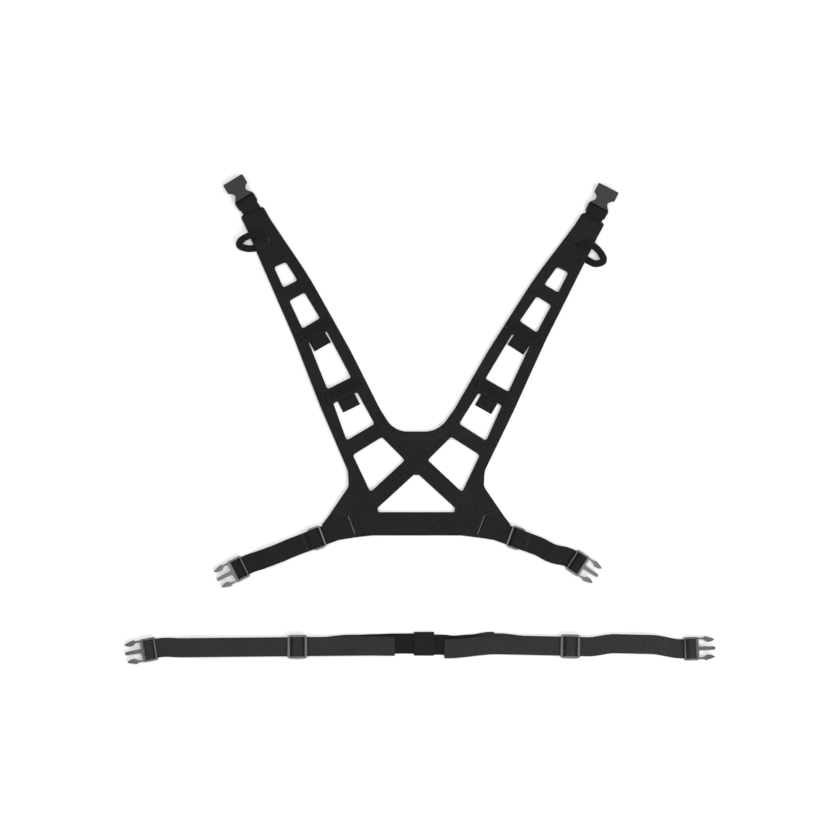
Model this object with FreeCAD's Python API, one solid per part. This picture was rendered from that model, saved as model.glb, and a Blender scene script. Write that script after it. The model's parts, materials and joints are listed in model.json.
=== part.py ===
"""Chest-pack harness set, laid flat: a one-piece yoke with its straps, and a separate waist strap.

Units are millimetres. +Y is towards the shoulder buckles and +Z up from the surface that the set
lies on, outer faces up, so +X is to the right. Every piece is written to parts/NODE.step.
Along a strap or a buckle, local x runs outwards along the webbing, y across it and z up.
"""

import FreeCAD
import Part

import math
import os

# ---- webbing, elastic and laminate
WEBBING_WIDTH = 25.0
WEBBING_THICK = 1.2
LAMINATE_THICK = 1.8
LAMINATE_BASE = 1.6
ELASTIC_THICK = 1.0
LAYER_GAP = 0.1
RUNNING_GAP = 0.3
HINGE_GAP = 0.3
JOIN = 0.01
WEBBING_SPARE = 5.0
CUT_REACH = 20.0

# ---- yoke: half outline in a frame with x out from the centreline; third value is the corner radius
SPLAY = math.radians(1.55)
SPLAY_PIVOT = (60.0, -40.0)
SPLAY_START = -60.0
SPLAY_RAMP = 80.0
ARM_LEAN = 34.35
YOKE_CENTRE_X = -5.0
OUTER_EDGE = [
    (119.0, -165.5, 3.0), (127.5, -142.5, 3.0), (119.0, -131.5, 60.0), (91.5, -91.0, 12.0),
    (92.5, -70.0, 25.0), (131.0, 14.0, 300.0), (172.0, 111.0, 500.0), (241.5, 259.0, 40.0),
]
ARM_END = [
    (249.5, 274.5, 3.5), (246.3, 278.3, 1.5), (244.7, 275.9, 0.8),
    (221.9, 287.9, 0.8), (223.2, 290.0, 1.5), (218.5, 289.0, 3.5),
]
INNER_EDGE = [
    (209.3, 273.4, 60.0), (153.1, 194.5, 600.0), (93.1, 93.5, 400.0), (51.1, 15.5, 60.0),
]
NECK = (30.0, -16.0, 45.0)
HEM = [(85.0, -160.0, 30.0), (60.0, -157.0, 60.0)]
WINDOWS = {
    "first": [(201.5, 206.5, 3.5), (186.0, 214.0, 3.5), (169.0, 189.0, 2.5), (188.0, 178.5, 2.5)],
    "second": [(179.0, 160.5, 3.0), (159.0, 172.5, 3.0), (136.5, 137.5, 2.5), (160.0, 122.5, 2.5)],
    "third": [(151.0, 104.5, 2.5), (127.0, 120.0, 2.5), (91.5, 57.0, 2.5), (123.0, 40.0, 2.5)],
    "fourth": [(114.5, 21.0, 2.5), (82.5, 37.0, 2.5), (57.5, -5.5, 3.0), (94.5, -28.5, 3.0)],
    "kite": [(86.0, -48.0, 4.0), (47.0, -23.5, 3.0), (15.5, -55.0, 3.0), (62.0, -98.5, 3.0)],
}
TRIANGLE = [(3.5, -75.0, 1.5), (52.0, -119.5, 2.5), (52.0, -125.5, 2.5)]

# ---- elastic rungs and pull tabs on the two lower bridges of each arm
RUNG_WIDTH = 13.5
RUNG_SLIT = 2.0
RUNG_TUCK = 5.0
RUNG_LINES = {
    "upper": ((162.5, 109.0), (121.5, 134.5)),
    "lower": ((124.5, 26.5), (80.0, 50.5)),
}
TAB_FOLD = 1.4
TAB_LENGTH = 14.6
TAB_SEWN = 8.6
TAB_LINES = {
    "upper": ((151.5, 105.5), (129.0, 119.5)),
    "lower": ((108.5, 23.5), (86.0, 35.5)),
}

# ---- elastic cable loops: up through a slit, over the arm's edge and back underneath
LOOP_WIDTH = 9.0
LOOP_SLIT = {"left": (213.0, 246.5), "right": (212.5, 244.5)}
LOOP_FOOT = (0.6, 2.5, 4.4)
LOOP_ROUTES = {
    "left": [
        (223.5, 251.5, 8.0), (236.0, 248.5, 9.0), (247.5, 242.0, 7.2), (249.5, 234.8, 5.6),
        (240.0, 231.5, 3.0), (229.5, 232.5, 0.95), (220.0, 235.5, 0.9),
    ],
    "right": [
        (222.0, 246.8, 8.0), (234.5, 243.5, 9.5), (246.5, 232.0, 7.4), (248.5, 223.0, 5.8),
        (238.0, 220.0, 3.0), (226.5, 225.5, 0.95), (216.0, 230.5, 0.9),
    ],
}
LOOP_STATIONS = 21

# ---- buckles
CLEAR_WIDTH = 40.0
FRAME_WIDTH = 31.0
RAIL_WIDTH = 2.4
BUCKLE_HEIGHT = 6.0
BAR_BASE = 1.5
BAR_HEIGHT = 2.4
MALE_REAR = 2.5
MALE_FRONT = 22.5
MALE_REAR_BAR = 3.0
REAR_BAR_BASE = 3.0
REAR_BAR_TOP = 5.8
MALE_CROSSBAR = 3.4
CROSSBAR_STEP = 0.6
MALE_BAR_START = 9.2
MALE_BAR_END = 17.0
GUIDE_LENGTH = 22.0
GUIDE_ROOT = 5.6
GUIDE_TIP = 4.4
GUIDE_STEP = 0.4
PRONG_BASE = 1.3
PRONG_HEIGHT = 3.8
PRONG_AXIS_Y = 13.3
PRONG_AXIS_GAP = 1.4
PRONG_ROOT_RADIUS = 1.1
PRONG_OUTLINE = [
    (1.0, -1.1, 0.0), (5.2, -1.9, 2.0), (9.4, -5.0, 3.5), (15.0, -4.5, 5.0), (20.4, -1.9, 0.5),
    (17.5, -0.2, 3.0), (8.2, 2.6, 1.5), (6.3, 2.6, 0.5), (5.7, 0.9, 0.5), (1.0, 1.1, 0.0),
]
MALE_RISE = (5.6, 9.8)
GUIDE_GROOVE = (4.0, 17.0, 1.4)
PRONG_POCKET = [(8.8, -3.3, 1.0), (14.2, -3.1, 1.5), (16.4, -1.6, 0.8), (8.8, 0.8, 0.8)]
POCKET_DEPTH = 0.7
SOCKET_OUTLINE = [
    (5.0, 14.5, 1.5), (15.6, 15.2, 2.5), (20.2, 12.1, 3.0), (23.6, 8.9, 8.0),
    (29.1, 8.6, 5.0), (33.4, 12.7, 2.0), (34.2, 15.3, 0.8), (47.0, 15.3, 1.2),
]
SOCKET_REAR = 5.0
SOCKET_SLOT = 17.6
SOCKET_HOLLOW = 25.1
SOCKET_NOTCH = (26.1, 34.6)
SOCKET_MOUTH = 47.0
SOCKET_HEIGHT = 8.0
SOCKET_WALL = 1.6
SOCKET_WIDTH = 30.6
SOCKET_BEVEL = 0.8
SOCKET_RISE = (1.6, 6.4)
SOCKET_BAR_START = 6.0
SOCKET_BAR_END = 14.0
SOCKET_BAR_HEIGHT = 2.6

# ---- where the buckles lie: hinge line's middle, from the yoke's centreline, and heading in degrees
ARM_STUB_VISIBLE = {"left": 6.1, "right": 1.7}
ARM_STUB_LENGTH = 28.0
ARM_END_MIDDLE = (233.3, 281.9)
SOCKET_HEADING = {"left": 122.0, "right": 62.3}
SLOT_MIDDLE = (91.5, -144.3)
SIDE_STRAP_HEADING = {"left": 200.9, "right": -20.5}
SIDE_STRAP_LENGTH = {"left": 146.5, "right": 123.5}
SIDE_BUCKLE_HEADING = {"left": 207.0, "right": -33.0}
STRAP_SLOT_LENGTH = 30.0
STRAP_SLOT_WIDTH = 2.6
SIDE_SLIDER_AT = 45.5
SIDE_SLIDER = {"length": 19.0, "width": 30.6, "outer": 3.2, "middle": 4.4}
SLOT_SETBACK = 0.7
SIDE_DROP = (28.0, 34.0)
SIDE_STEP = (34.5, 38.5)
SIDE_UNDERLEG_END = 66.0
SIDE_HIGH_END = 86.0
SIDE_REST = 14.0
SIDE_TAIL = 22.0

# ---- waist strap: both halves run outwards from the middle
WAIST_HINGE = {"left": (-351.3, -307.8), "right": (351.5, -309.0)}
WAIST_INNER_Y = {"left": -304.9, "right": -301.9}
WAIST_BUCKLE_HEADING = {"left": -169.7, "right": 1.5}
WAIST_TAIL_X = {"left": -33.6, "right": 33.0}
WAIST_BASE_X = {"left": -78.0, "right": 80.0}
WAIST_FALL = (60.0, 16.0)
WAIST_SLIDER_X = {"left": -164.5, "right": 201.5}
WAIST_SLIDER = {"length": 27.0, "width": 31.8, "outer": 4.0, "middle": 5.6}
ELASTIC_WIDTH = 27.0
ELASTIC_LEFT = -97.0
ELASTIC_RIGHT = 99.5
ELASTIC_Y = -301.2
KEEPER_LEFT = -8.1
KEEPER_RIGHT = 18.9
KEEPER_WIDTH = 31.8
KEEPER_THICK = 0.8
KEEPER_Y = -302.2

# ---- sliders: the webbing runs over the low middle bar and under the two high outer bars
SLIDER_BAR = 1.9
SLIDER_STRAP_BASE = 2.2
WAIST_LEVEL = SLIDER_STRAP_BASE
ELASTIC_BASE = WAIST_LEVEL - 0.05 - ELASTIC_THICK
SLIDER_STRAP_TOP = SLIDER_STRAP_BASE + 2 * WEBBING_THICK
SLIDER_OUTER_BASE = SLIDER_STRAP_TOP + RUNNING_GAP
SLIDER_HEIGHT = SLIDER_OUTER_BASE + 2.0
SLIDER_RELIEF = 1.6
SLIDER_CLEARANCE = 0.6
SLIDER_CORNER = 4.6

SIDES = ("left", "right")
UP = FreeCAD.Vector(0, 0, 1)
nodes = {}


# ---------------------------------------------------------------- geometry helpers
def vec(x, y, z=0.0):
    return FreeCAD.Vector(x, y, z)


def corner_arc(before, corner, after, radius):
    """Start, middle and end of the tangent arc that rounds a corner, or None for a sharp one."""
    to_before = (before - corner).normalize()
    to_after = (after - corner).normalize()
    turn = to_before.getAngle(to_after)
    if radius <= 0 or turn > math.pi - 1e-3:
        return None
    room = 0.48 * min((before - corner).Length, (after - corner).Length)
    cut = min(radius / math.tan(turn / 2), room)
    radius = cut * math.tan(turn / 2)
    start = corner + to_before * cut
    end = corner + to_after * cut
    bisector = (to_before + to_after).normalize()
    middle = corner + bisector * (radius / math.sin(turn / 2) - radius)
    return start, middle, end


def rounded_face(points):
    """A flat face from (x, y, corner radius) points."""
    corners = [vec(x, y) for x, y, _ in points]
    count = len(points)
    arcs = []
    for i, (_, _, radius) in enumerate(points):
        arcs.append(corner_arc(corners[i - 1], corners[i], corners[(i + 1) % count], radius))
    edges = []
    for i in range(count):
        following = (i + 1) % count
        if arcs[i]:
            edges.append(Part.Arc(*arcs[i]).toShape())
        start = arcs[i][2] if arcs[i] else corners[i]
        end = arcs[following][0] if arcs[following] else corners[following]
        edges.append(Part.LineSegment(start, end).toShape())
    return Part.Face(Part.Wire(edges))


def prism(points, base, height):
    face = rounded_face(points)
    face.translate(vec(0, 0, base))
    return face.extrude(vec(0, 0, height))


def block(x0, x1, width, base, top):
    """A box along a strap, centred across it."""
    return Part.makeBox(x1 - x0, width, top - base, vec(x0, -width / 2, base))


def bar(x0, x1, width, base, top):
    """A cross bar with fully rounded long edges."""
    radius = min(x1 - x0, top - base) / 2 * 0.96
    outline = [(x0, base, radius), (x1, base, radius), (x1, top, radius), (x0, top, radius)]
    return across(rounded_face(outline), width)


def across(face, width):
    """Turns a side-view face, drawn as (along, up), into a solid of that width."""
    face.rotate(vec(0, 0, 0), vec(1, 0, 0), 90)
    face.translate(vec(0, width / 2, 0))
    return face.extrude(vec(0, -width, 0))


def ribbon(path, thickness, width):
    """Webbing seen from its edge: (along, up, bend radius) points down its middle."""
    points = [vec(x, z) for x, z, _ in path]
    sides = {1: [], -1: []}
    for sign, edges in sides.items():
        last = None
        for i, point in enumerate(points):
            if 0 < i < len(points) - 1:
                arc = corner_arc(points[i - 1], point, points[i + 1], path[i][2])
                incoming = (point - points[i - 1]).normalize()
                outgoing = (points[i + 1] - point).normalize()
                across_in = vec(-incoming.y, incoming.x) * (sign * thickness / 2)
                across_out = vec(-outgoing.y, outgoing.x) * (sign * thickness / 2)
                across_mid = (across_in + across_out).normalize() * (thickness / 2)
                start, middle, end = arc[0] + across_in, arc[1] + across_mid, arc[2] + across_out
                edges.append(Part.LineSegment(last, start).toShape())
                edges.append(Part.Arc(start, middle, end).toShape())
                last = end
            else:
                near = points[1] - points[0] if i == 0 else points[-1] - points[-2]
                near.normalize()
                offset = vec(-near.y, near.x) * (sign * thickness / 2)
                if last is not None:
                    edges.append(Part.LineSegment(last, point + offset).toShape())
                last = point + offset
    caps = []
    for index in (0, -1):
        ends = [sides[sign][index].Vertexes[index].Point for sign in (1, -1)]
        caps.append(Part.LineSegment(*ends).toShape())
    wire = Part.Wire(Part.__sortEdges__(sides[1] + sides[-1] + caps))
    return across(Part.Face(wire), width)


def placed(shape, middle, heading):
    """A copy of a locally drawn shape at a point on the surface, turned to its heading."""
    copy = shape.copy()
    copy.Placement = FreeCAD.Placement(vec(*middle), FreeCAD.Rotation(UP, heading)) * copy.Placement
    return copy


def ahead(middle, heading, distance, sideways=0.0):
    """The point that far along a heading, and that far to its left."""
    c, s = math.cos(math.radians(heading)), math.sin(math.radians(heading))
    return middle[0] + distance * c - sideways * s, middle[1] + distance * s + sideways * c


def laid(x, y, side):
    """A point of the symmetrical half pattern as it lies: the right arm splays more than the left."""
    share = max(0.0, min(1.0, (y - SPLAY_START) / SPLAY_RAMP))
    share = share * share * (3 - 2 * share)
    angle = SPLAY * share * (-1 if side == "right" else 1)
    dx, dy = x - SPLAY_PIVOT[0], y - SPLAY_PIVOT[1]
    x = SPLAY_PIVOT[0] + dx * math.cos(angle) - dy * math.sin(angle)
    y = SPLAY_PIVOT[1] + dx * math.sin(angle) + dy * math.cos(angle)
    return YOKE_CENTRE_X + (x if side == "right" else -x), y


def laid_outline(points, side):
    return [(*laid(x, y, side), radius) for x, y, radius in points]


def heading_between(start, end):
    return math.degrees(math.atan2(end[1] - start[1], end[0] - start[0]))


def strap_place(side):
    """The side strap's frame: middle of the slot, and heading."""
    return laid(*SLOT_MIDDLE, side), SIDE_STRAP_HEADING[side]


def hinge_of(kind, side):
    """Where webbing folds at a buckle: the point, the strap's heading and the buckle's heading."""
    if kind == "socket":
        heading = SOCKET_HEADING[side]
        return ahead(laid(*ARM_END_MIDDLE, side), heading, ARM_STUB_VISIBLE[side]), heading, heading
    if kind == "side":
        middle, heading = strap_place(side)
        return ahead(middle, heading, SIDE_STRAP_LENGTH[side]), heading, SIDE_BUCKLE_HEADING[side]
    inner = (WAIST_TAIL_X[side], WAIST_INNER_Y[side])
    return WAIST_HINGE[side], heading_between(inner, WAIST_HINGE[side]), WAIST_BUCKLE_HEADING[side]


def trimmed(shape, kind, side, keep):
    """Webbing cut back from its fold line; keep is +1 for the buckle's piece and -1 for the strap's."""
    middle, strap_heading, buckle_heading = hinge_of(kind, side)
    waste = block(-CUT_REACH, HINGE_GAP, 2 * CUT_REACH, -1, 20)
    turned = (strap_heading + buckle_heading) / 2 + (0 if keep > 0 else 180)
    return shape.cut(placed(waste, middle, turned))


def waist_along(side, x):
    """Distance from the waist hinge to a place nearer the middle, negative inwards."""
    middle, heading, _ = hinge_of("waist", side)
    return (x - middle[0]) / math.cos(math.radians(heading))


# ---------------------------------------------------------------- yoke panel
def yoke_panel():
    right = laid_outline(OUTER_EDGE + ARM_END + INNER_EDGE, "right")
    left = laid_outline(OUTER_EDGE + ARM_END + INNER_EDGE, "left")
    neck = [(YOKE_CENTRE_X + NECK[0], NECK[1], NECK[2]), (YOKE_CENTRE_X - NECK[0], NECK[1], NECK[2])]
    outline = right + neck + left[::-1]
    outline += laid_outline(HEM, "left") + laid_outline(HEM[::-1], "right")
    panel = prism(outline, LAMINATE_BASE, LAMINATE_THICK)
    holes = [prism(laid_outline(w, side), 0, 10) for side in SIDES for w in WINDOWS.values()]
    base = [(YOKE_CENTRE_X + x, y, r) for x, y, r in TRIANGLE]
    base += [(YOKE_CENTRE_X - x, y, r) for x, y, r in TRIANGLE[::-1]]
    holes.append(prism(base, 0, 10))
    for side in SIDES:
        middle, heading = strap_place(side)
        slot = block(SLOT_SETBACK, SLOT_SETBACK + STRAP_SLOT_WIDTH, STRAP_SLOT_LENGTH, 0, 10)
        holes.append(placed(slot, middle, heading + 180))
        for level in RUNG_LINES:
            start, length, heading = rung_place(side, level)
            for at in (0.0, length):
                hole = block(at - RUNG_SLIT / 2, at + RUNG_SLIT / 2, RUNG_WIDTH + 1.0, 0, 10)
                holes.append(placed(hole, start, heading))
        middle, heading = loop_slit(side)
        slit = block(-LOOP_WIDTH / 2 - 0.5, LOOP_WIDTH / 2 + 0.5, RUNG_SLIT, 0, 10)
        holes.append(placed(slit, middle, heading))
    return panel.cut(holes)


# ---------------------------------------------------------------- rungs, tabs and cable loops
def rung_place(side, level):
    """Outer slit's middle, distance between the slits, and heading towards the inner slit."""
    outer, inner = (laid(*point, side) for point in RUNG_LINES[level])
    length = math.hypot(inner[0] - outer[0], inner[1] - outer[1])
    return outer, length, heading_between(outer, inner)


def rung_band(side, level):
    """Elastic over the bridge, down through a slit at each end and tucked back underneath."""
    start, length, heading = rung_place(side, level)
    top = LAMINATE_BASE + LAMINATE_THICK + LAYER_GAP + ELASTIC_THICK / 2
    under = LAMINATE_BASE - LAYER_GAP - ELASTIC_THICK / 2
    bend = (top - under) / 2 - 0.02
    path = [
        (RUNG_TUCK, under, 0), (0, under, bend), (0, top, bend),
        (length, top, bend), (length, under, bend), (length - RUNG_TUCK, under, 0),
    ]
    return placed(ribbon(path, ELASTIC_THICK, RUNG_WIDTH), start, heading)


def tab_place(side, level):
    """Middle of a tab's fold line, just inside the window, and the heading it points in."""
    outer, inner = (laid(*point, side) for point in TAB_LINES[level])
    middle = ((outer[0] + inner[0]) / 2, (outer[1] + inner[1]) / 2)
    heading = heading_between(outer, inner) + (90 if side == "right" else -90)
    return ahead(middle, heading, TAB_FOLD), heading


def tab_flap(side, level):
    middle, heading = tab_place(side, level)
    outline = [
        (HINGE_GAP, -WEBBING_WIDTH / 2, 0.3), (TAB_LENGTH, -WEBBING_WIDTH / 2, 1.0),
        (TAB_LENGTH, WEBBING_WIDTH / 2, 1.0), (HINGE_GAP, WEBBING_WIDTH / 2, 0.3),
    ]
    return placed(prism(outline, 0.2, WEBBING_THICK), middle, heading)


def tab_end(side, level):
    """The stretch of a tab that is sewn under the bridge, behind its hinge line."""
    middle, heading = tab_place(side, level)
    return placed(block(-TAB_SEWN, -HINGE_GAP, WEBBING_WIDTH, 0.2, 0.2 + WEBBING_THICK), middle, heading)


def loop_slit(side):
    x, y = LOOP_SLIT[side]
    further = laid(x + math.sin(math.radians(ARM_LEAN)), y + math.cos(math.radians(ARM_LEAN)), side)
    return laid(x, y, side), heading_between(laid(x, y, side), further)


def band_along(points, lie, width, thickness, stations):
    """A flat band lofted along a smooth curve; its width stays as near to the lie direction as it can."""
    curve = Part.BSplineCurve()
    curve.interpolate(points)
    sections = []
    for i in range(stations):
        at = curve.parameterAtDistance(curve.length() * i / (stations - 1), curve.FirstParameter)
        centre = curve.value(at)
        tangent = FreeCAD.Vector(*curve.tangent(at)[0])
        wide = (lie - tangent * lie.dot(tangent)).normalize() * (width / 2)
        thin = tangent.cross(wide).normalize() * (thickness / 2)
        ring = [centre + wide + thin, centre - wide + thin, centre - wide - thin, centre + wide - thin]
        sections.append(Part.makePolygon(ring + ring[:1]))
    band = Part.makeLoft(sections, True, True)
    return band if band.Volume > 0 else band.reversed()


def cable_loop(side):
    middle, heading = loop_slit(side)
    along_arm = vec(math.cos(math.radians(heading)), math.sin(math.radians(heading)))
    points = [vec(*middle, z) for z in LOOP_FOOT]
    points += [vec(*laid(x, y, side), z) for x, y, z in LOOP_ROUTES[side]]
    return band_along(points, along_arm, LOOP_WIDTH, ELASTIC_THICK, LOOP_STATIONS)


# ---------------------------------------------------------------- webbing round the buckles
def webbing_loop(bar_end, bar_top, rise):
    """Webbing from the hinge line, under and round the buckle's bar, and back on top."""
    lower = LAYER_GAP + WEBBING_THICK / 2
    stacked = lower + WEBBING_THICK + LAYER_GAP
    upper = bar_top + 0.15 + WEBBING_THICK / 2
    front = bar_end + 0.25 + WEBBING_THICK / 2
    bend = (upper - lower) / 2 - 0.02
    path = [
        (-WEBBING_SPARE, lower, 0), (front, lower, bend), (front, upper, bend),
        (rise[1], upper, 3.0), (rise[0], stacked, 3.0), (-WEBBING_SPARE, stacked, 0),
    ]
    return ribbon(path, WEBBING_THICK, WEBBING_WIDTH)


def male_frame():
    """Rails, rear bar over the webbing, wide bar inside its loop, front crossbar and centre guide."""
    inner = FRAME_WIDTH - 2 * RAIL_WIDTH
    outline = [
        (MALE_REAR, -FRAME_WIDTH / 2, 1.5), (MALE_FRONT, -FRAME_WIDTH / 2, 2.5),
        (MALE_FRONT, FRAME_WIDTH / 2, 2.5), (MALE_REAR, FRAME_WIDTH / 2, 1.5),
    ]
    window = block(MALE_REAR - 1, MALE_FRONT - MALE_CROSSBAR, inner, -1, BUCKLE_HEIGHT + 1)
    rails = prism(outline, 0, BUCKLE_HEIGHT).cut(window)
    front = MALE_FRONT - MALE_CROSSBAR
    slim = block(front, MALE_FRONT, inner, BUCKLE_HEIGHT - CROSSBAR_STEP, BUCKLE_HEIGHT + 1)
    under = block(front, MALE_FRONT, inner, -1, CROSSBAR_STEP)
    rails = rails.cut([slim, under])
    rear = bar(MALE_REAR, MALE_REAR + MALE_REAR_BAR, inner + RAIL_WIDTH, REAR_BAR_BASE, REAR_BAR_TOP)
    middle = bar(MALE_BAR_START, MALE_BAR_END, inner + RAIL_WIDTH, BAR_BASE, BAR_BASE + BAR_HEIGHT)
    guide_outline = [
        (MALE_FRONT - 1, -GUIDE_ROOT / 2, 0), (MALE_FRONT + GUIDE_LENGTH, -GUIDE_TIP / 2, 1.2),
        (MALE_FRONT + GUIDE_LENGTH, GUIDE_TIP / 2, 1.2), (MALE_FRONT - 1, GUIDE_ROOT / 2, 0),
    ]
    guide = prism(guide_outline, PRONG_BASE + GUIDE_STEP, PRONG_HEIGHT - 2 * GUIDE_STEP)
    start, end, width = GUIDE_GROOVE
    floor = PRONG_BASE + PRONG_HEIGHT - GUIDE_STEP - POCKET_DEPTH
    guide = guide.cut(block(MALE_FRONT + start, MALE_FRONT + end, width, floor, BUCKLE_HEIGHT))
    return rails.fuse([rear, middle, guide]).removeSplitter()


def prong(hand):
    """A flexing side arm with its barbed head; hand is +1 on the heading's left, -1 on its right."""
    outline = [(x, y * hand, r) for x, y, r in PRONG_OUTLINE]
    head = prism(outline if hand > 0 else outline[::-1], PRONG_BASE, PRONG_HEIGHT)
    pocket = [(x, y * hand, r) for x, y, r in PRONG_POCKET]
    floor = PRONG_BASE + PRONG_HEIGHT - POCKET_DEPTH
    head = head.cut(prism(pocket if hand > 0 else pocket[::-1], floor, BUCKLE_HEIGHT))
    root = Part.makeCylinder(PRONG_ROOT_RADIUS, PRONG_HEIGHT, vec(0, 0, PRONG_BASE))
    arm = block(0, PRONG_AXIS_GAP, 2 * PRONG_ROOT_RADIUS, PRONG_BASE, PRONG_BASE + PRONG_HEIGHT)
    shape = head.fuse([root, arm]).removeSplitter()
    shape.translate(vec(MALE_FRONT + PRONG_AXIS_GAP, PRONG_AXIS_Y * hand, 0))
    return shape


def socket_body():
    """Hollow mouth block, waist and webbing end of the socket half."""
    outline = SOCKET_OUTLINE + [(x, -y, r) for x, y, r in SOCKET_OUTLINE[::-1]]
    body = prism(outline, 0, SOCKET_HEIGHT)
    inner = FRAME_WIDTH - 2 * RAIL_WIDTH
    opening = block(SOCKET_REAR - 1, SOCKET_SLOT, inner, -1, SOCKET_HEIGHT + 1)
    lowered = block(SOCKET_REAR - 1, SOCKET_SLOT - 1, CLEAR_WIDTH, BUCKLE_HEIGHT, SOCKET_HEIGHT + 1)
    top = SOCKET_HEIGHT - SOCKET_WALL
    mouth = block(SOCKET_HOLLOW, SOCKET_MOUTH + 1, SOCKET_WIDTH - 2 * SOCKET_WALL, SOCKET_WALL, top)
    gaps = block(*SOCKET_NOTCH, CLEAR_WIDTH, SOCKET_WALL, top)
    bevels = []
    for level, inward in ((0.0, SOCKET_BEVEL), (SOCKET_HEIGHT, -SOCKET_BEVEL)):
        corner = [
            (SOCKET_MOUTH - SOCKET_BEVEL, level, 0), (SOCKET_MOUTH + 1, level - inward, 0),
            (SOCKET_MOUTH + 1, level + inward, 0), (SOCKET_MOUTH, level + inward, 0),
        ]
        bevels.append(across(rounded_face(corner), CLEAR_WIDTH))
    body = body.cut([opening, lowered, mouth, gaps] + bevels)
    bar_top = BAR_BASE + SOCKET_BAR_HEIGHT
    end_bar = bar(SOCKET_BAR_START, SOCKET_BAR_END, inner + RAIL_WIDTH, BAR_BASE, bar_top)
    return body.fuse(end_bar).removeSplitter()


def arm_webbing(side):
    """The sewn end of the shoulder webbing, from under the arm to the hinge line."""
    middle, heading, _ = hinge_of("socket", side)
    stub = block(-ARM_STUB_LENGTH, -HINGE_GAP, WEBBING_WIDTH, 0.2, 0.2 + WEBBING_THICK)
    return placed(stub, middle, heading)


# ---------------------------------------------------------------- sliders and keeper
def slider(size):
    """Three-bar slider; its middle bar is lower than its outer bars, so webbing runs straight through."""
    length, width = size["length"], size["width"]
    outer, middle = size["outer"], size["middle"]
    inner = WEBBING_WIDTH + 2 * SLIDER_CLEARANCE
    half, side = length / 2, width / 2
    plan = [(x, y, SLIDER_CORNER) for x, y in ((-half, -side), (half, -side), (half, side), (-half, side))]
    body = prism(plan, 0, SLIDER_HEIGHT)
    rails = body.cut(block(-half - 1, half + 1, inner, -1, SLIDER_HEIGHT + 1))
    bars = [bar(-half, -half + outer, width, SLIDER_OUTER_BASE, SLIDER_HEIGHT)]
    bars.append(bar(half - outer, half, width, SLIDER_OUTER_BASE, SLIDER_HEIGHT))
    bars.append(bar(-middle / 2, middle / 2, width, 0, SLIDER_BAR))
    relief = [block(at - outer, at + outer, width + 2, -1, SLIDER_RELIEF) for at in (-half, half)]
    return rails.fuse(bars).common(body).cut(relief).removeSplitter()


def keeper():
    """Webbing sleeve round the waist elastic."""
    room = RUNNING_GAP + KEEPER_THICK
    low, high = ELASTIC_BASE - room, ELASTIC_BASE + ELASTIC_THICK + room
    outer = block(KEEPER_LEFT, KEEPER_RIGHT, KEEPER_WIDTH, low, high)
    hollow = block(KEEPER_LEFT - 1, KEEPER_RIGHT + 1, KEEPER_WIDTH - 2 * KEEPER_THICK,
                   low + KEEPER_THICK, high - KEEPER_THICK)
    return placed(outer.cut(hollow), (0.0, KEEPER_Y), 0.0)


# ---------------------------------------------------------------- straps
def side_strap(side):
    """One length: a short end through the slider, under the corner, up the slot and out to the buckle."""
    hinge = SIDE_STRAP_LENGTH[side]
    under = LAYER_GAP + WEBBING_THICK / 2
    over = LAMINATE_BASE + LAMINATE_THICK + LAYER_GAP + WEBBING_THICK / 2
    low = SLIDER_STRAP_BASE + WEBBING_THICK / 2
    high = low + WEBBING_THICK
    rest = LAYER_GAP + 1.5 * WEBBING_THICK
    turn = (over - under) / 2 - 0.02
    front = -STRAP_SLOT_WIDTH / 2 - SLOT_SETBACK
    upper = ribbon([
        (SIDE_STEP[0], under, 0), (front, under, turn), (front, over, turn),
        (SIDE_DROP[0], over, 8.0), (SIDE_DROP[1], high, 8.0),
        (SIDE_HIGH_END, high, 30.0), (hinge - SIDE_REST, rest, 30.0), (hinge + WEBBING_SPARE, rest, 0),
    ], WEBBING_THICK, WEBBING_WIDTH)
    lower = ribbon([
        (SIDE_STEP[0] - 1, under, 0), (SIDE_STEP[0] + 1, under, 1.0),
        (SIDE_STEP[1], low, 1.0), (SIDE_UNDERLEG_END, low, 0),
    ], WEBBING_THICK, WEBBING_WIDTH)
    tail_top = rest - WEBBING_THICK / 2 + JOIN
    tail = block(hinge - SIDE_TAIL, hinge + WEBBING_SPARE, WEBBING_WIDTH, LAYER_GAP, tail_top)
    strap = upper.fuse([lower, tail]).removeSplitter()
    return trimmed(placed(strap, *strap_place(side)), "side", side, -1)


def waist_strap(side):
    """Base layer sewn on the elastic, out to the buckle, and the returning layer with its free tail."""
    middle, heading, _ = hinge_of("waist", side)
    base_start = waist_along(side, WAIST_BASE_X[side])
    tail_start = waist_along(side, WAIST_TAIL_X[side])
    base = WAIST_LEVEL + WEBBING_THICK / 2
    rest = LAYER_GAP + WEBBING_THICK / 2
    lower = ribbon([
        (base_start, base, 0), (-WAIST_FALL[0], base, 60.0),
        (-WAIST_FALL[1], rest, 60.0), (WEBBING_SPARE, rest, 0),
    ], WEBBING_THICK + JOIN, WEBBING_WIDTH)
    upper = ribbon([
        (tail_start, base + WEBBING_THICK, 0), (-WAIST_FALL[0], base + WEBBING_THICK, 60.0),
        (-WAIST_FALL[1], rest + WEBBING_THICK, 60.0), (WEBBING_SPARE, rest + WEBBING_THICK, 0),
    ], WEBBING_THICK + JOIN, WEBBING_WIDTH)
    return trimmed(placed(upper.fuse(lower).removeSplitter(), middle, heading), "waist", side, -1)


def waist_elastic():
    corner = vec(ELASTIC_LEFT, ELASTIC_Y - ELASTIC_WIDTH / 2, ELASTIC_BASE)
    return Part.makeBox(ELASTIC_RIGHT - ELASTIC_LEFT, ELASTIC_WIDTH, ELASTIC_THICK, corner)


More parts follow.
